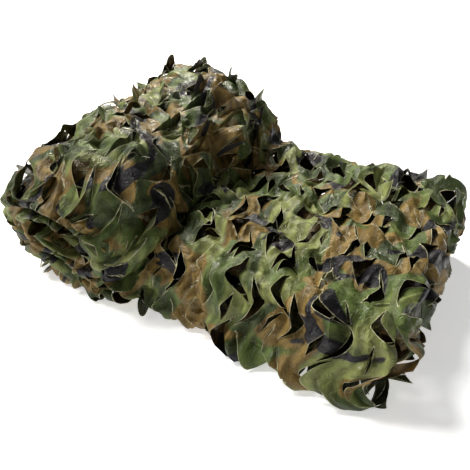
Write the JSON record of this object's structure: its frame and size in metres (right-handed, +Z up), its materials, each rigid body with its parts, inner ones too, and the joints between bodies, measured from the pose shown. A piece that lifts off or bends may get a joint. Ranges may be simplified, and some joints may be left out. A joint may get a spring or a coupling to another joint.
{
  "type": "camouflage net",
  "caption": "Leaf-cut camouflage net, folded into a thick soft band and rolled loosely from one end.",
  "frame": {"origin": "on the floor, under the middle of the whole object's box", "axes": "+X along the band from the roll to its free end, +Y across the band away from its near side, +Z up"},
  "size_m": [0.5726, 0.376, 0.2152],
  "materials": {
    "net_cloth": "satin"
  },
  "bodies": {
    "root": {"camouflage_net": "net_cloth"}
  },
  "joints": []
}
